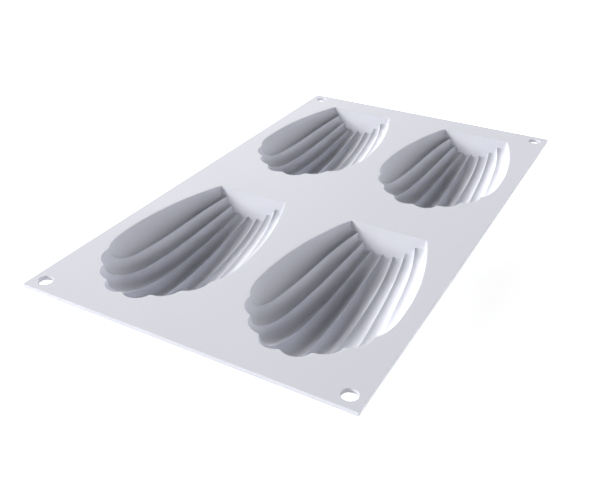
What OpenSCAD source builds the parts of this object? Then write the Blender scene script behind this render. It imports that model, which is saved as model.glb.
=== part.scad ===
// Shell cake mould: one flexible moulding, a flat sheet with four fluted shell cups.
// Millimetres, +Z up. The origin is on the ground under the middle of the sheet.
// +Y runs along the sheet, from the shells' scalloped ends towards their straight heels.
// The nodes are the named regions of the moulding, and they meet face to face.

/* [Sheet] */
// Length of the sheet, along Y
sheet_l = 300; // [280:1:340]
// Width of the sheet, along X
sheet_w = 175; // [165:1:220]
// Thickness of the sheet
sheet_t = 2.3; // [1.5:0.1:3]
// Radius of the sheet's upright corners
corner_r = 0.6; // [0.2:0.1:5]

/* [Corner holes] */
// Diameter of the hole in each corner
hole_d = 7.3; // [5:0.1:9]
// Distance from each hole's centre to both edges
hole_inset = 7.3; // [7:0.1:9]

/* [Layout] */
// Distance between the two columns of shells
column_pitch = 85; // [80:1:88]
// Distance between the two rows of shells
row_pitch = 150; // [140:1:152]
// Distance from the middle of a shell's place in the row back to its heel edge
heel_offset = 58.2; // [56:0.1:60]

/* [Shell cavity] */
// Length from the heel edge to the notch between the two middle lobes
shell_l = 115; // [105:1:118]
// Width across the widest part
shell_w = 71.6; // [66:0.2:76]
// Width of the straight heel edge
heel_w = 42.6; // [38:0.2:46]
// Depth of the middle ridge's crest below the top face
crest_depth = 20.6; // [16:0.2:24]
// Steepness of the flat heel wall, in degrees from level
heel_angle = 66.6; // [58:0.2:72]
// Sideways bow of the outer ridges, seen from above
ridge_bow = 2.2; // [0.6:0.1:2.6]
// Thickness of the cup's wall
wall = 1.8; // [1.4:0.1:2.2]
// How much is cut flat under the lowest flutes, so that the cup stands on them
foot_cut = 0.6; // [0.2:0.1:0.8]

/* [Fineness] */
// Steps across each flute
flute_steps = 5; // [3:1:6]
// Steps along the level run of the flutes
run_steps = 10; // [8:1:12]
// Steps up the climb at the scalloped end
climb_steps = 8; // [6:1:10]

/* [Hidden] */
$fn = 48;
overrun = 1;
tiny = 0.001;
silicone = "#DCDCE6";

// Ridges, from the middle one outwards. The last one ends where the side rim ends.
// Where each ridge leaves the heel wall, as shares of half the heel edge
foot_x_shares = [0, 0.276, 0.55, 0.752];
// Depth there, as shares of the crest depth
foot_depth_shares = [0.587, 0.577, 0.419, 0.225];
// Deepest point of each crest, as shares of the crest depth
floor_depth_shares = [1, 0.952, 0.77, 0.553];
// Share of its length at which each ridge is deepest and starts to climb
turn_shares = [0.62, 0.577, 0.653, 0.787];
// Share of the bow that each ridge has. A higher power brings the bow nearer to the heel.
bow_shares = [0, 0.62, 0.48, 1];
bow_power = 3;
// Notches in the scalloped rim, as shares of half the width and of the length
notch_x_shares = [0, 0.355, 0.643, 0.869];
notch_y_shares = [1, 0.961, 0.879, 0.768];

// Side rim: where it is widest along the length, and where it leaves the run
widest_share = 0.584;
rim_turn_share = 0.77;
rim_back_power = 2;
rim_front_power = 3.2;

// Flutes, from the middle ones outwards. The last one is the plain flute at the side.
// Bulge of each flute as a share of its width: at the heel, on the floor, at the rim
heel_bulge_shares = [0.238, 0.292, 0.267, 0.314];
floor_bulge_shares = [0.368, 0.338, 0.266, 0.18];
rim_bulge_shares = [0.313, 0.2, 0.182, 0.194];
// How far the hollow of the side flutes leans towards their ridge, as a slope
side_lean = 0.52;

// Roundness of the climb: 2 is an ellipse, more is squarer
climb_power = 2.13;

half_ridges = len(foot_x_shares);
flutes = 2 * half_ridges;
last_row = run_steps + climb_steps;
last_column = flutes * flute_steps;
row_length = last_column + 1;
grid_size = row_length * (last_row + 1);

bow_peak = pow(bow_power, bow_power) / pow(1 + bow_power, 1 + bow_power);
heel_run = 1 / tan(heel_angle);
heel_normal = [0, sin(heel_angle), -cos(heel_angle)];
heel_back = wall / sin(heel_angle) - sheet_t * heel_run;
widest_y = shell_l * widest_share;
rim_end_x = notch_x_shares[half_ridges - 1] * shell_w / 2;
rim_end_y = notch_y_shares[half_ridges - 1] * shell_l;

function mix(a, b, t) = a + (b - a) * t;
function unit(v) = v / norm(v);
function within(low, value, high) = max(low, min(high, value));
// The part of a direction that lies in a plane
function in_plane(v, normal) = unit(v - (v * normal) * normal);

// How far round the climb a row is, in degrees: 0 on the run, 90 at the rim
function climb_angle(row) = 90 * max(0, row - run_steps) / climb_steps;
// Share of the run that a row has covered
function run_share(row) = min(row, run_steps) / run_steps;
function climb_reach(row) = pow(sin(climb_angle(row)), 2 / climb_power);
function climb_depth(row) = row == last_row ? 0 : pow(cos(climb_angle(row)), 2 / climb_power);

// Half width of the cavity at a distance y in front of the heel edge
function rim_x(y) =
    y < widest_y
        ? shell_w / 2 - (shell_w - heel_w) / 2 * pow(1 - y / widest_y, rim_back_power)
        : shell_w / 2 - (shell_w / 2 - rim_end_x)
            * pow((y - widest_y) / (rim_end_y - widest_y), rim_front_power);

// Right-hand side rim, level with the top face
function rim_point(row) =
    let (y = rim_end_y * (row <= run_steps
        ? rim_turn_share * run_share(row)
        : mix(rim_turn_share, 1, climb_reach(row))))
    [rim_x(y), -y, 0];

// Crest of the ridge that is m places from the middle, on the right-hand side
function crest_point(m, row) =
    let (
        foot_depth = foot_depth_shares[m] * crest_depth,
        floor_depth = floor_depth_shares[m] * crest_depth,
        foot_x = foot_x_shares[m] * heel_w / 2,
        foot_y = foot_depth * heel_run,
        notch_x = notch_x_shares[m] * shell_w / 2,
        notch_y = notch_y_shares[m] * shell_l,
        along = mix(turn_shares[m] * run_share(row), 1, climb_reach(row)),
        bow = ridge_bow * bow_shares[m] * along * pow(1 - along, bow_power) / bow_peak,
        run_depth = mix(floor_depth, foot_depth, pow(1 - run_share(row), 2))
    )
    [mix(foot_x, notch_x, along) + bow, -mix(foot_y, notch_y, along), -run_depth * climb_depth(row)];

// Line k of the shell, from the left rim (0) over the ridges to the right rim (flutes)
function line_point(k, row) =
    let (
        m = abs(k - half_ridges),
        p = m == half_ridges ? rim_point(row) : crest_point(m, row)
    )
    [sign(k - half_ridges) * p[0], p[1], p[2]];

// Direction in which flute k bulges, away from the cavity
function bulge_direction(k, row) =
    let (
        side = k == 0 ? 1 : k == flutes - 1 ? -1 : 0,
        r = side == 0 ? row : min(row, last_row - 1),
        back = max(r - 1, 0),
        ahead = min(r + 1, last_row),
        across = line_point(k + 1, r) - line_point(k, r),
        forward = line_point(k, ahead) + line_point(k + 1, ahead)
            - line_point(k, back) - line_point(k + 1, back),
        free = unit(unit(cross(across, forward)) + side * side_lean * run_share(row) * unit(across))
    )
    row == 0 ? in_plane(free, heel_normal) : row == last_row ? in_plane(free, [0, 0, 1]) : free;

function bulge_share(k, row) =
    let (m = k < half_ridges ? half_ridges - 1 - k : k - half_ridges)
    row <= run_steps
        ? mix(heel_bulge_shares[m], floor_bulge_shares[m], run_share(row))
        : mix(floor_bulge_shares[m], rim_bulge_shares[m], (row - run_steps) / climb_steps);

// Point on a round arc from p to q that rises by a given amount along a direction
function arc_point(p, q, direction, rise, t) =
    norm(q - p) < tiny ? p :
    let (
        half_angle = 2 * atan(2 * rise / norm(q - p)),
        angle = mix(-half_angle, half_angle, t)
    )
    p + (q - p) * (sin(angle) / sin(half_angle) + 1) / 2
        + direction * rise * (cos(angle) - cos(half_angle)) / (1 - cos(half_angle));

function inner_rise(k, row) = bulge_share(k, row) * norm(line_point(k + 1, row) - line_point(k, row));

function inner_point(k, row, t) =
    arc_point(line_point(k, row), line_point(k + 1, row), bulge_direction(k, row), inner_rise(k, row), t);

// Direction out of the wall at the inner lines
function crest_direction(k, row) =
    let (d = unit(bulge_direction(k - 1, row) + bulge_direction(k, row)))
    row == last_row ? in_plane(d, [0, 0, 1]) : row == 0 ? in_plane(d, heel_normal) : d;

// Behind a crest the wall is thicker, because the two flutes' outer arcs meet there
function crest_wall(k, row) = wall / cos(atan(2 * bulge_share(k - 1, row)) + atan(2 * bulge_share(k, row)));

// Outer rim beside the left or right side rim, under the sheet
function outer_rim(k, row) =
    let (
        back = line_point(k, max(row - 1, 0)),
        ahead = line_point(k, min(row + 1, last_row)),
        way = unit(ahead - back),
        out = sign(k - half_ridges) * [-way[1], way[0], 0],
        p = line_point(k, row)
    )
    row == 0
        ? [p[0] + sign(p[0]) * wall, heel_back, -sheet_t]
        : [p[0] + out[0] * wall, p[1] + out[1] * wall, -sheet_t];

// Line k of the outside, where neighbouring outer arcs meet
function outer_line(k, row) =
    let (
        last = row == last_row,
        j = last ? within(1, k, flutes - 1) : k
    )
    j == 0 || j == flutes
        ? outer_rim(j, row)
        : let (p = line_point(j, row) + crest_direction(j, row) * crest_wall(j, row)
            + (row == 0 ? heel_normal * wall : [0, 0, 0]))
          [p[0], p[1], last ? -sheet_t : min(p[2], -sheet_t)];

function outer_point(k, row, t) =
    let (
        d = bulge_direction(k, row),
        p = outer_line(k, row),
        q = outer_line(k + 1, row),
        level = row == last_row ? [0, 0, -sheet_t] : [0, 0, 0],
        shift = row == 0 ? heel_normal * wall : level,
        middle = inner_point(k, row, 1 / 2) + d * wall + shift,
        rise = (middle - (p + q) / 2) * d
    )
    arc_point(p, q, d, rise, t);

// Flute and place across it of a column of the grid
function flute_of(column) = min(floor(column / flute_steps), flutes - 1);
function inner_grid() = [for (row = [0:last_row], c = [0:last_column])
    inner_point(flute_of(c), row, c / flute_steps - flute_of(c))];
function round_outer_grid() = [for (row = [0:last_row], c = [0:last_column])
    outer_point(flute_of(c), row, c / flute_steps - flute_of(c))];

// Height of the whole moulding, from the ground to the sheet's top face
mould_h = -min([for (p = round_outer_grid()) p[2]]) - foot_cut;
// The lowest flutes are cut flat where they stand on the ground
function outer_grid() = [for (p = round_outer_grid()) [p[0], p[1], max(p[2], -mould_h)]];

// The side flutes end in one point, so their last row is a single corner of the grid
function place(row, column) =
    row * row_length
        + (row == last_row ? within(flute_steps, column, last_column - flute_steps) : column);

// Rim of the grid, clockwise from above, from the right heel corner to the left one
rim_places = concat(
    [for (row = [0:last_row]) place(row, last_column)],
    [for (c = [last_column - flute_steps - 1:-1:flute_steps]) place(last_row, c)],
    [for (row = [last_row - 1:-1:0]) place(row, 0)]
);
rim_count = len(rim_places);

// A triangle, left out where two of its corners are the same place
function triangle(a, b, c) = a == b || b == c || c == a ? [] : [[a, b, c]];
function quad(a, b, c, d) = concat(triangle(a, b, c), triangle(a, c, d));
function flat_list(lists) = [for (l = lists, entry = l) entry];
function reversed(triangles) = [for (f = triangles) [f[2], f[1], f[0]]];
function moved(triangles, by) = [for (f = triangles) [f[0] + by, f[1] + by, f[2] + by]];

// Skin over one side of the cup: the fluted grid, and a fan over the flat heel wall
function skin(heel_middle) = concat(
    flat_list([for (row = [0:last_row - 1], c = [0:last_column - 1])
        quad(place(row, c), place(row, c + 1), place(row + 1, c + 1), place(row + 1, c))]),
    [for (c = [0:last_column - 1]) [heel_middle, place(0, c + 1), place(0, c)]]
);

// Outline of the cup where it meets the sheet
function cup_outline(outer) = concat([[0, heel_back]], [for (i = rim_places) [outer[i][0], outer[i][1]]]);

// Cup with the middle of its heel edge at the origin, hanging below the top face
module shell_cup() {
    inner = inner_grid();
    outer = outer_grid();
    outline = cup_outline(outer);
    inner_ring = concat([grid_size], rim_places);
    outer_first = grid_size + 1;
    outer_ring = [for (i = inner_ring) i + outer_first];
    top_first = 2 * outer_first;
    points = concat(
        inner, [[0, 0, 0]],
        outer, [[0, heel_back, -sheet_t]],
        [for (p = outline) [p[0], p[1], 0]]
    );
    ring = rim_count + 1;
    bands = flat_list([for (i = [0:ring - 1])
        let (n = (i + 1) % ring)
        concat(
            quad(top_first + i, top_first + n, inner_ring[n], inner_ring[i]),
            quad(top_first + n, top_first + i, outer_ring[i], outer_ring[n])
        )]);
    polyhedron(points, concat(skin(grid_size), moved(reversed(skin(grid_size)), outer_first), bands));
}

module at_shell(column, row) {
    translate([column * column_pitch / 2, row * row_pitch / 2 + heel_offset, mould_h])
        children();
}

module corner_marks(inset) {
    for (x = [-1, 1], y = [-1, 1])
        translate([x * (sheet_w / 2 - inset), y * (sheet_l / 2 - inset), 0])
            children();
}

module sheet_outline() {
    square([sheet_w - 2 * corner_r, sheet_l], center = true);
    square([sheet_w, sheet_l - 2 * corner_r], center = true);
    corner_marks(corner_r)
        circle(corner_r);
}

module deck_sheet() {
    outline = cup_outline(outer_grid());
    color(silicone)
        difference() {
            translate([0, 0, mould_h - sheet_t])
                linear_extrude(sheet_t)
                    sheet_outline();
            for (column = [-1, 1], row = [-1, 1])
                at_shell(column, row)
                    translate([0, 0, -sheet_t - overrun])
                        linear_extrude(sheet_t + 2 * overrun)
                            polygon(outline);
            corner_marks(hole_inset)
                translate([0, 0, mould_h - sheet_t - overrun])
                    cylinder(h = sheet_t + 2 * overrun, d = hole_d);
        }
}

module placed_shell(column, row) {
    color(silicone)
        at_shell(column, row)
            shell_cup();
}

module shell_front_left() placed_shell(-1, -1);
module shell_front_right() placed_shell(1, -1);
module shell_rear_left() placed_shell(-1, 1);
module shell_rear_right() placed_shell(1, 1);

deck_sheet();
shell_front_left();
shell_front_right();
shell_rear_left();
shell_rear_right();
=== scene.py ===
"""Looks of the shell baking mould: one pale silicone moulding on a plain white floor.

The moulding is dressed region by region, as the solid part is: the flat sheet, and four fluted
cups with rounded rims and ridges. Its sizes repeat those of the solid part. They are in
millimetres until a piece is put in its place.
"""
import math

import bmesh
import bpy
from mathutils import Matrix, Vector


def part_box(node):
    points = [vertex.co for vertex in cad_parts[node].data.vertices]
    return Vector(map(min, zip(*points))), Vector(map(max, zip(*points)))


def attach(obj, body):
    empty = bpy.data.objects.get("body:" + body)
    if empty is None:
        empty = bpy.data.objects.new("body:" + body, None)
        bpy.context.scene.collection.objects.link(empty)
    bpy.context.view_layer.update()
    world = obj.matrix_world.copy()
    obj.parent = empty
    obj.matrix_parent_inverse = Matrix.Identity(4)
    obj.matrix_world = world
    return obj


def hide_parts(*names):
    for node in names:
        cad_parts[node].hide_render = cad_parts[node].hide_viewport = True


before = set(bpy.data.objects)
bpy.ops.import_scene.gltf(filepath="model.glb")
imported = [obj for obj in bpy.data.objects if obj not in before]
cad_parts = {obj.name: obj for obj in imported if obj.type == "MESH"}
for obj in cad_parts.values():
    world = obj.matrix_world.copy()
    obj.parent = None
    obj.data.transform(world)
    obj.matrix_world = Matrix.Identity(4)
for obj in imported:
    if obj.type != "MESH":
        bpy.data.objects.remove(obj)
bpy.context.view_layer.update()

MM = 0.001

# The sheet
CORNER_R = 0.6
HOLE_D = 7.3
HOLE_INSET = 7.3
EDGE_R = 0.1

# The shell cavity, and the cup's wall around it
SHELL_L = 115.0
SHELL_W = 71.6
HEEL_W = 42.6
CREST_DEPTH = 20.6
HEEL_ANGLE = math.radians(66.6)
RIDGE_BOW = 2.2
WALL = 1.8

# Ridges, from the middle one outwards. Each starts at its foot on the heel wall, runs over the
# floor of the cavity, turns up, and ends at its notch in the rim.
FOOT_X_SHARES = (0, 0.276, 0.55, 0.752)
FOOT_DEPTH_SHARES = (0.587, 0.577, 0.419, 0.225)
FLOOR_DEPTH_SHARES = (1, 0.952, 0.77, 0.553)
TURN_SHARES = (0.62, 0.577, 0.653, 0.787)
BOW_SHARES = (0, 0.62, 0.48, 1)
BOW_POWER = 3
NOTCH_X_SHARES = (0, 0.355, 0.643, 0.869)
NOTCH_Y_SHARES = (1, 0.961, 0.879, 0.768)

# Side rim
WIDEST_SHARE = 0.584
RIM_TURN_SHARE = 0.77
RIM_BACK_POWER = 2
RIM_FRONT_POWER = 3.2

# Flutes, from the middle ones outwards: bulge as a share of the width
HEEL_BULGE_SHARES = (0.238, 0.292, 0.267, 0.314)
FLOOR_BULGE_SHARES = (0.368, 0.338, 0.266, 0.18)
RIM_BULGE_SHARES = (0.313, 0.2, 0.182, 0.194)

# The climb to the rim, and how far the outermost flutes lean outwards
CLIMB_POWER = 2.13
SIDE_LEAN = 0.52

# Fineness. The ridges of one half are counted with the middle one.
HALF_RIDGES = len(FOOT_X_SHARES)
FLUTES = 2 * HALF_RIDGES
FLUTE_STEPS = 16
RUN_STEPS = 40
CLIMB_STEPS = 28
CLIMB_CROWDING = 1.6
COLUMNS = FLUTES * FLUTE_STEPS
ROWS = RUN_STEPS + CLIMB_STEPS
ROUND_STEPS = 4
CORNER_STEPS = 6
HOLE_STEPS = 64

# Where the rows between a cavity's rim and the cup's outline lie, and the width of a strip that
# keeps the face beside it flat
RIM_SHARES = (0.15, 0.4, 1)
HOLDING = 0.15

# Rounds of smoothing, the angle past which an edge is sharp, and the gap under which two points
# are one
CREST_SOFTENING = 1
RIM_SOFTENING = 2
SHARP_ANGLE = math.radians(35)
TOGETHER = 0.0005

BOW_PEAK = BOW_POWER ** BOW_POWER / (1 + BOW_POWER) ** (1 + BOW_POWER)
HEEL_RUN = 1 / math.tan(HEEL_ANGLE)
HEEL_NORMAL = Vector((0, math.sin(HEEL_ANGLE), -math.cos(HEEL_ANGLE)))
UP = Vector((0, 0, 1))

# Seen from the middle of a heel edge, on the sheet's top face: how far back the outside of the
# heel wall meets the sheet, and the level that the cups stand on
sheet_low, sheet_high = (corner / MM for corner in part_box("deck_sheet"))
SHEET_T = sheet_high.z - sheet_low.z
HEEL_BACK = WALL / math.sin(HEEL_ANGLE) - SHEET_T * HEEL_RUN
GROUND = -sheet_high.z

# The studio, in metres. The floor lies a hair low, so that the cups' flat feet don't share its
# plane, and its own glow lifts it to plain white.
FLOOR_HALF_WIDTH = 3
FLOOR_DROP = 0.0001
FLOOR_GLOW = 0.79
LAMP_DISTANCE = 8


# Lines of the shell. The middle of the heel edge is at the origin, and the lobes are towards -Y.

def mix(a, b, share):
    return a + (b - a) * share


def in_plane(v, normal):
    return (v - v.dot(normal) * normal).normalized()


def run_share(row):
    return min(row, RUN_STEPS) / RUN_STEPS


def climb_angle(row):
    """How far round the climb a row is. The rows close up towards the rim."""
    left = 1 - max(0, row - RUN_STEPS) / CLIMB_STEPS
    return math.pi / 2 * (1 - left ** CLIMB_CROWDING)


def climb_reach(row):
    return math.sin(climb_angle(row)) ** (2 / CLIMB_POWER)


def climb_depth(row):
    return 0 if row == ROWS else math.cos(climb_angle(row)) ** (2 / CLIMB_POWER)


def rim_point(row):
    """Right-hand side rim, level with the sheet."""
    half_w = SHELL_W / 2
    widest_y = SHELL_L * WIDEST_SHARE
    end_x = NOTCH_X_SHARES[-1] * half_w
    end_y = NOTCH_Y_SHARES[-1] * SHELL_L
    turn = RIM_TURN_SHARE * run_share(row)
    y = end_y * (turn if row <= RUN_STEPS else mix(RIM_TURN_SHARE, 1, climb_reach(row)))
    if y < widest_y:
        x = half_w - (SHELL_W - HEEL_W) / 2 * (1 - y / widest_y) ** RIM_BACK_POWER
    else:
        x = half_w - (half_w - end_x) * ((y - widest_y) / (end_y - widest_y)) ** RIM_FRONT_POWER
    return Vector((x, -y, 0))


def crest_point(m, row):
    """Crest of the ridge that is m places to the right of the middle."""
    foot_depth = FOOT_DEPTH_SHARES[m] * CREST_DEPTH
    floor_depth = FLOOR_DEPTH_SHARES[m] * CREST_DEPTH
    foot_x = FOOT_X_SHARES[m] * HEEL_W / 2
    foot_y = foot_depth * HEEL_RUN
    notch_x = NOTCH_X_SHARES[m] * SHELL_W / 2
    notch_y = NOTCH_Y_SHARES[m] * SHELL_L
    along = mix(TURN_SHARES[m] * run_share(row), 1, climb_reach(row))
    bow = RIDGE_BOW * BOW_SHARES[m] * along * (1 - along) ** BOW_POWER / BOW_PEAK
    depth = mix(floor_depth, foot_depth, (1 - run_share(row)) ** 2) * climb_depth(row)
    return Vector((mix(foot_x, notch_x, along) + bow, -mix(foot_y, notch_y, along), -depth))


def line_point(k, row):
    """Line k of the shell, from the left rim (0) over the ridges to the right rim."""
    m = abs(k - HALF_RIDGES)
    p = rim_point(row) if m == HALF_RIDGES else crest_point(m, row)
    return p if k >= HALF_RIDGES else Vector((-p.x, p.y, p.z))


def bulge_direction(k, row):
    """The way flute k bulges, away from the cavity."""
    side = {0: 1, FLUTES - 1: -1}.get(k, 0)
    r = min(row, ROWS - 1) if side else row
    lean = side * SIDE_LEAN * run_share(row)
    back, ahead = max(r - 1, 0), min(r + 1, ROWS)
    across = line_point(k + 1, r) - line_point(k, r)
    forward = (line_point(k, ahead) + line_point(k + 1, ahead)
               - line_point(k, back) - line_point(k + 1, back))
    free = (across.cross(forward).normalized() + across.normalized() * lean).normalized()
    if row == 0:
        return in_plane(free, HEEL_NORMAL)
    return in_plane(free, UP) if row == ROWS else free


def bulge_share(k, row):
    m = HALF_RIDGES - 1 - k if k < HALF_RIDGES else k - HALF_RIDGES
    if row <= RUN_STEPS:
        return mix(HEEL_BULGE_SHARES[m], FLOOR_BULGE_SHARES[m], run_share(row))
    return mix(FLOOR_BULGE_SHARES[m], RIM_BULGE_SHARES[m], climb_angle(row) / (math.pi / 2))


def arc_point(p, q, direction, rise, share):
    """A point on the round arc from p to q that rises along a direction."""
    chord = (q - p).length
    if chord < TOGETHER:
        return p.copy()
    half = 2 * math.atan(2 * rise / chord)
    angle = mix(-half, half, share)
    return (p + (q - p) * (math.sin(angle) / math.sin(half) + 1) / 2
            + direction * rise * (math.cos(angle) - math.cos(half)) / (1 - math.cos(half)))


class Lines:
    """The inner and outer lines of one row, worked out once for all its columns."""

    def __init__(self, row):
        self.row = row
        self.inner = [line_point(k, row) for k in range(FLUTES + 1)]
        self.ways = [bulge_direction(k, row) for k in range(FLUTES)]
        self.shares = [bulge_share(k, row) for k in range(FLUTES)]
        self.outer = [self.outer_line(k) for k in range(FLUTES + 1)]

    def inner_point(self, k, share):
        p, q = self.inner[k], self.inner[k + 1]
        return arc_point(p, q, self.ways[k], self.shares[k] * (q - p).length, share)

    def outer_rim(self, k):
        """Outside of the wall beside a side rim, under the sheet."""
        p = self.inner[k]
        if self.row == 0:
            return Vector((p.x + math.copysign(WALL, p.x), HEEL_BACK, -SHEET_T))
        way = (line_point(k, min(self.row + 1, ROWS)) - line_point(k, self.row - 1)).normalized()
        out = Vector((-way.y, way.x, 0)) * (1 if k else -1)
        return p + out * WALL - UP * SHEET_T

    def outer_line(self, k):
        """Outside of the wall behind line k, where the outer arcs of two flutes meet."""
        if self.row == ROWS:
            k = min(max(k, 1), FLUTES - 1)
        if k in (0, FLUTES):
            return self.outer_rim(k)
        way = (self.ways[k - 1] + self.ways[k]).normalized()
        if self.row == ROWS:
            way = in_plane(way, UP)
        elif self.row == 0:
            way = in_plane(way, HEEL_NORMAL)
        spread = math.atan(2 * self.shares[k - 1]) + math.atan(2 * self.shares[k])
        p = self.inner[k] + way * WALL / math.cos(spread)
        if self.row == 0:
            p += HEEL_NORMAL * WALL
        p.z = -SHEET_T if self.row == ROWS else min(p.z, -SHEET_T)
        return p

    def outer_point(self, k, share):
        p, q, way = self.outer[k], self.outer[k + 1], self.ways[k]
        middle = self.inner_point(k, 0.5) + way * WALL
        if self.row == 0:
            middle += HEEL_NORMAL * WALL
        elif self.row == ROWS:
            middle -= UP * SHEET_T
        return arc_point(p, q, way, (middle - (p + q) / 2).dot(way), share)


def corners(edges):
    """The corners of a row of edges, each once."""
    return list(dict.fromkeys(v for e in edges for v in e.verts))


def open_edges(bm):
    return [e for e in bm.edges if e.is_boundary]


def extruded(bm, edges):
    """Extrudes a row of edges in place, and returns the new row."""
    made = bmesh.ops.extrude_edge_only(bm, edges=edges)["geom"]
    verts = {v for v in made if isinstance(v, bmesh.types.BMVert)}
    return [e for e in made if isinstance(e, bmesh.types.BMEdge)
            and e.verts[0] in verts and e.verts[1] in verts]


def ordered(edges):
    """The corners of a closed loop, from the middle of its rearmost side towards +X."""
    here = min(corners(edges), key=lambda v: (-round(v.co.y, 3), abs(v.co.x)))
    loop, left = [], set(edges)
    while left:
        loop.append(here)
        way = max((e for e in here.link_edges if e in left), key=lambda e: e.other_vert(here).co.x)
        left.discard(way)
        here = way.other_vert(here)
    return loop


def soften(bm, verts, times, flat=False):
    for _ in range(times):
        bmesh.ops.smooth_vert(bm, verts=verts, factor=0.5, use_axis_x=True, use_axis_y=True,
                              use_axis_z=not flat)


def fluted_skin(bm, lines, side, heel, heel_half_w):
    """A grid moved over the flutes, its rows from the heel to the rim, and the flat heel wall.

    Returns the edges round its rim, which stay open."""
    others = set(open_edges(bm))
    made = bmesh.ops.create_grid(bm, x_segments=COLUMNS, y_segments=ROWS, size=0.5)
    grid = {}
    for v in made["verts"]:
        row, column = round((v.co.y + 0.5) * ROWS), round((v.co.x + 0.5) * COLUMNS)
        k = min(column // FLUTE_STEPS, FLUTES - 1)
        v.co = getattr(lines[row], side)(k, column / FLUTE_STEPS - k)
        grid[row, column] = v

    # The ridges are rounded a little. Their ends stay on the heel wall and on the rim.
    crests = [k * FLUTE_STEPS + step for k in range(1, FLUTES) for step in (-1, 0, 1)]
    notches = [c for c in crests if FLUTE_STEPS < c < COLUMNS - FLUTE_STEPS]
    soften(bm, [grid[row, c] for row in range(ROWS) for c in crests], CREST_SOFTENING)
    soften(bm, [grid[ROWS, c] for c in notches], CREST_SOFTENING, flat=True)
    ends = [grid[0, column] for column in range(COLUMNS + 1)]
    for v in ends:
        v.co -= HEEL_NORMAL * (v.co - heel).dot(HEEL_NORMAL)

    # The wall goes from the ridges' ends to the heel edge in three steps. The first is at most a
    # narrow strip, and the second stops a narrow strip short, which keeps the wall between flat.
    edges = [bm.edges.get(pair) for pair in zip(ends, ends[1:])]
    for most, short in ((HOLDING, 0), (math.inf, HOLDING), (math.inf, 0)):
        edges = extruded(bm, edges)
        for v in corners(edges):
            edge_x = max(-heel_half_w, min(v.co.x, heel_half_w))
            way = Vector((edge_x, heel.y, heel.z)) - v.co
            v.co += way.normalized() * min(most, max(way.length - short, 0))
    bmesh.ops.remove_doubles(bm, verts=bm.verts, dist=TOGETHER)
    return [e for e in open_edges(bm) if e not in others]


def shell_cup():
    """One cup with the middle of its heel edge at the origin, and its outline on the sheet."""
    bm = bmesh.new()
    lines = [Lines(row) for row in range(ROWS + 1)]
    heel = Vector((0, 0, 0))
    outer_heel = Vector((0, HEEL_BACK, -SHEET_T))

    under = fluted_skin(bm, lines, "outer_point", outer_heel, HEEL_W / 2 + WALL)
    for v in bm.verts:
        v.co.z = max(v.co.z, GROUND)
    outline = [Vector((v.co.x, v.co.y, 0)) for v in ordered(under)]

    edges = fluted_skin(bm, lines, "inner_point", heel, HEEL_W / 2)
    rim = [v.co.copy() for v in ordered(edges)]
    rounded = corners(edges)
    for share in RIM_SHARES:
        edges = extruded(bm, edges)
        for v, near, far in zip(ordered(edges), rim, outline):
            v.co = near.lerp(far, share)
        if share == RIM_SHARES[0]:
            rounded += corners(edges)
    soften(bm, rounded, RIM_SOFTENING)
    bmesh.ops.bridge_loops(bm, edges=edges + under)
    bmesh.ops.recalc_face_normals(bm, faces=bm.faces)
    return bm, outline


def rolled_edge(bm, edges, centres, grow):
    """Carries a loop of the top face round a small radius and down to the middle of the sheet."""
    turns = [math.pi / 2 * step / ROUND_STEPS for step in range(1, ROUND_STEPS + 1)]
    steps = [(HOLDING, 0)]
    steps += [(HOLDING + EDGE_R * math.sin(a), EDGE_R * (1 - math.cos(a))) for a in turns]
    steps += [(HOLDING + EDGE_R, SHEET_T / 2)]
    last_out, last_down = 0, 0
    for out, down in steps:
        edges = extruded(bm, edges)
        for v in corners(edges):
            way = min((v.co.xy - c for c in centres), key=lambda w: w.length).normalized()
            v.co.xy += way * grow * (out - last_out)
            v.co.z -= down - last_down
        last_out, last_down = out, down


def flat_sheet(places, outline):
    """The sheet around the cups, its middle at the origin. The lower half mirrors the upper."""
    bm = bmesh.new()
    half_t = SHEET_T / 2
    inset = HOLDING + EDGE_R
    size = (sheet_high - sheet_low).xy
    signs = [Vector((x, y)) for x in (-1, 1) for y in (-1, 1)]
    round_centres = [s * (size / 2 - Vector((CORNER_R, CORNER_R))) for s in signs]
    hole_centres = [s * (size / 2 - Vector((HOLE_INSET, HOLE_INSET))) for s in signs]

    top = Matrix.Translation((0, 0, half_t))
    block = top @ Matrix.Diagonal((size.x - 2 * inset, size.y - 2 * inset, 1, 1))
    square = bmesh.ops.create_grid(bm, x_segments=1, y_segments=1, size=0.5, matrix=block)["verts"]
    bmesh.ops.bevel(bm, geom=square, offset=CORNER_R - inset, segments=CORNER_STEPS, profile=0.5,
                    affect="VERTICES", material=-1)
    bmesh.ops.delete(bm, geom=bm.faces[:], context="FACES_ONLY")
    rim = bm.edges[:]
    for centre in hole_centres:
        bmesh.ops.create_circle(bm, cap_ends=False, segments=HOLE_STEPS,
                                radius=HOLE_D / 2 + HOLDING + EDGE_R,
                                matrix=top @ Matrix.Translation(centre.to_3d()))
    holes = [e for e in bm.edges if e not in rim]
    cuts = []
    for place in places:
        loop = [bm.verts.new((p.x + place.x, p.y + place.y, half_t)) for p in outline]
        cuts += [bm.edges.new(pair) for pair in zip(loop, loop[1:] + loop[:1])]
    bmesh.ops.triangle_fill(bm, use_beauty=True, use_dissolve=False, edges=bm.edges, normal=UP)

    rolled_edge(bm, rim, round_centres, 1)
    rolled_edge(bm, holes, hole_centres, -1)
    for v in corners(extruded(bm, cuts)):
        v.co.z -= half_t
    bmesh.ops.mirror(bm, geom=bm.verts[:] + bm.edges[:] + bm.faces[:], axis="Z",
                     merge_dist=TOGETHER)
    bmesh.ops.recalc_face_normals(bm, faces=bm.faces)
    return bm


def in_scene(name, data):
    obj = bpy.data.objects.new(name, data)
    bpy.context.scene.collection.objects.link(obj)
    return obj


def as_mesh(name, bm, material):
    mesh = bpy.data.meshes.new(name)
    bm.to_mesh(mesh)
    mesh.materials.append(material)
    return mesh


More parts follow.
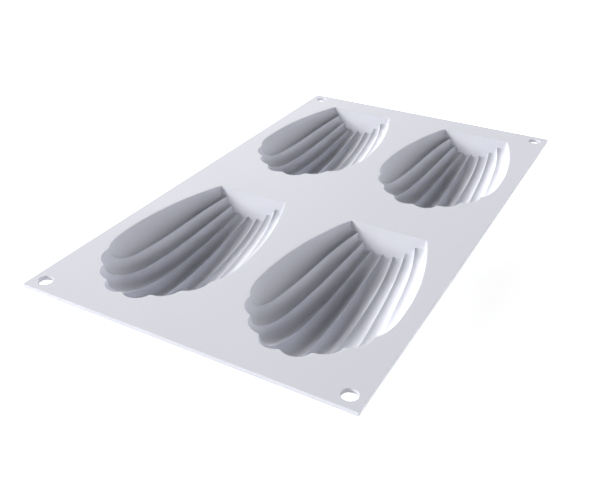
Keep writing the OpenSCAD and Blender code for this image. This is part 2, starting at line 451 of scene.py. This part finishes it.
def piece(name, bm, place, node):
    """Makes a mesh in metres at its place, in the stead of a region of the solid part."""
    mesh = as_mesh(name, bm, silicone)
    mesh.transform(Matrix.Scale(MM, 4) @ Matrix.Translation(place))
    mesh.shade_smooth()
    mesh.set_sharp_from_angle(angle=SHARP_ANGLE)
    obj = in_scene(name, mesh)
    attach(obj, "root")
    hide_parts(node)


def linear(hex_colour):
    """An sRGB hex colour as the linear values that a shader takes."""
    channels = [int(hex_colour[i:i + 2], 16) / 255 for i in (1, 3, 5)]
    return [c / 12.92 if c <= 0.04045 else ((c + 0.055) / 1.055) ** 2.4 for c in channels] + [1]


def add_node(tree, kind, inputs=None, **settings):
    """Adds a shader node. An input is a plain value, or the socket that feeds it."""
    made = tree.nodes.new("ShaderNode" + kind)
    for name, value in settings.items():
        setattr(made, name, value)
    for name, value in (inputs or {}).items():
        if isinstance(value, bpy.types.NodeSocket):
            tree.links.new(value, made.inputs[name])
        else:
            made.inputs[name].default_value = value
    return made


def empty_material(name):
    material = bpy.data.materials.new(name)
    material.use_nodes = True
    material.node_tree.nodes.clear()
    return material, material.node_tree


def platinum_silicone():
    """Pale platinum silicone from a blasted tool: soft and dense, and matte with a dim sheen."""
    material, tree = empty_material("moulded platinum silicone")
    where = add_node(tree, "TexCoord").outputs["Object"]

    # Faint clouds, about 30 mm across, where the tint is a little less even. Inputs 0, 6 and 7 of
    # a colour mix are its factor and its two colours, and output 2 is the colour that it makes.
    clouds = add_node(tree, "TexNoise", {"Vector": where, "Scale": 1 / (30 * MM), "Detail": 2.0})
    tint = add_node(tree, "Mix", data_type="RGBA", inputs={
        0: clouds.outputs["Fac"], 6: linear("#DADBE4"), 7: linear("#DEDFE7")}).outputs[2]

    # The blasted tool leaves a fine grain, which scatters the sheen. It is drawn 0.3 mm across,
    # coarser than the real one, so that it shows.
    grain = add_node(tree, "TexNoise", {"Vector": where, "Scale": 1 / (0.3 * MM), "Detail": 1.0})
    relief = add_node(tree, "Bump", {"Height": grain.outputs["Fac"], "Strength": 0.3,
                                     "Distance": 0.02 * MM})
    dullness = add_node(tree, "MapRange", {"Value": clouds.outputs["Fac"], "To Min": 0.65,
                                           "To Max": 0.75})
    shader = add_node(tree, "BsdfPrincipled", {
        "Base Color": tint, "Roughness": dullness.outputs["Result"],
        "Normal": relief.outputs["Normal"], "IOR": 1.41})
    add_node(tree, "OutputMaterial", {"Surface": shader.outputs["BSDF"]})
    return material


silicone = platinum_silicone()
cup, cup_outline = shell_cup()
middle = (sheet_low + sheet_high) / 2
shells = ("shell_front_left", "shell_front_right", "shell_rear_left", "shell_rear_right")
shell_places = []
for node in shells:
    low, high = (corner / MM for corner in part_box(node))
    shell_places.append(Vector(((low.x + high.x) / 2, high.y - HEEL_BACK, sheet_high.z)))
    piece("fluted_" + node, cup, shell_places[-1], node)
sheet = flat_sheet([place - middle for place in shell_places], cup_outline)
piece("rolled_edge_sheet", sheet, middle, "deck_sheet")


# Floor, light and camera

def seen_directly(tree):
    """1 for rays from the camera, and for those that a shiny or clear surface sends on, else 0."""
    rays = add_node(tree, "LightPath").outputs
    sent_on = add_node(tree, "Math", {0: rays["Is Glossy Ray"], 1: rays["Is Transmission Ray"]},
                       operation="MAXIMUM")
    return add_node(tree, "Math", {0: rays["Is Camera Ray"], 1: sent_on.outputs[0]},
                    operation="MAXIMUM").outputs[0]


def white_floor():
    """A floor that keeps the object's shadow, and is plain white where nothing shades it."""
    material, tree = empty_material("white studio floor")
    base = add_node(tree, "BsdfDiffuse", {"Color": linear("#F8F8F8")})
    lift = add_node(tree, "Math", {0: seen_directly(tree), 1: FLOOR_GLOW}, operation="MULTIPLY")
    glow = add_node(tree, "Emission", {"Strength": lift.outputs[0]})
    total = add_node(tree, "AddShader", {0: base.outputs[0], 1: glow.outputs[0]})
    add_node(tree, "OutputMaterial", {"Surface": total.outputs[0]})
    return material


floor_bm = bmesh.new()
bmesh.ops.create_grid(floor_bm, x_segments=1, y_segments=1, size=FLOOR_HALF_WIDTH,
                      matrix=Matrix.Translation((0, 0, -FLOOR_DROP)))
floor = in_scene("floor", as_mesh("floor", floor_bm, white_floor()))

world = bpy.data.worlds.new("studio")
bpy.context.scene.world = world
world.use_nodes = True
world.node_tree.nodes.clear()
backdrop = add_node(world.node_tree, "Background", {
    "Color": linear("#FFFFFF"), "Strength": seen_directly(world.node_tree)})
add_node(world.node_tree, "OutputWorld", {"Surface": backdrop.outputs[0]})


def softbox(name, turn, height, strength, tall=2.0):
    """A soft lamp, 2 m wide, that faces the mould.

    It stands at a turn from the front, seen from above and counted towards the right, and at a
    height over the floor, both in degrees. Its strength is the brightness that it alone gives a
    white surface which faces it."""
    lamp = bpy.data.lights.new(name, "AREA")
    lamp.shape = "RECTANGLE"
    lamp.size, lamp.size_y = 2.0, tall
    lamp.energy = strength * (LAMP_DISTANCE * math.pi) ** 2
    around, up = math.radians(turn), math.radians(height)
    way = Vector((math.sin(around) * math.cos(up), -math.cos(around) * math.cos(up), math.sin(up)))
    obj = in_scene(name, lamp)
    obj.location = way * LAMP_DISTANCE
    obj.rotation_euler = way.to_track_quat("Z", "Y").to_euler()


softbox("window", -45, 15, 0.77)
softbox("left", -60, 23, 0.245)
softbox("left_back", -120, 23, 0.335)
softbox("back_left", -140, 23, 0.655)
softbox("high_back_left", -135, 45, 0.075)
softbox("back", 180, 15, 0.175)
softbox("back_right", 135, 8, 0.155)
softbox("right", 60, 15, 0.216)
softbox("low_right", 72, 0.4, 0.4, tall=0.1)

camera = in_scene("camera", bpy.data.cameras.new("camera"))
camera.data.sensor_width = 36
camera.data.lens = 45.49
camera.data.shift_x = 0.0195
camera.location = (0.1687, -0.3478, 0.22655)
camera.rotation_euler = [math.radians(a) for a in (59.53, -0.14, 29.59)]
bpy.context.scene.camera = camera
bpy.context.scene.view_settings.view_transform = "Standard"
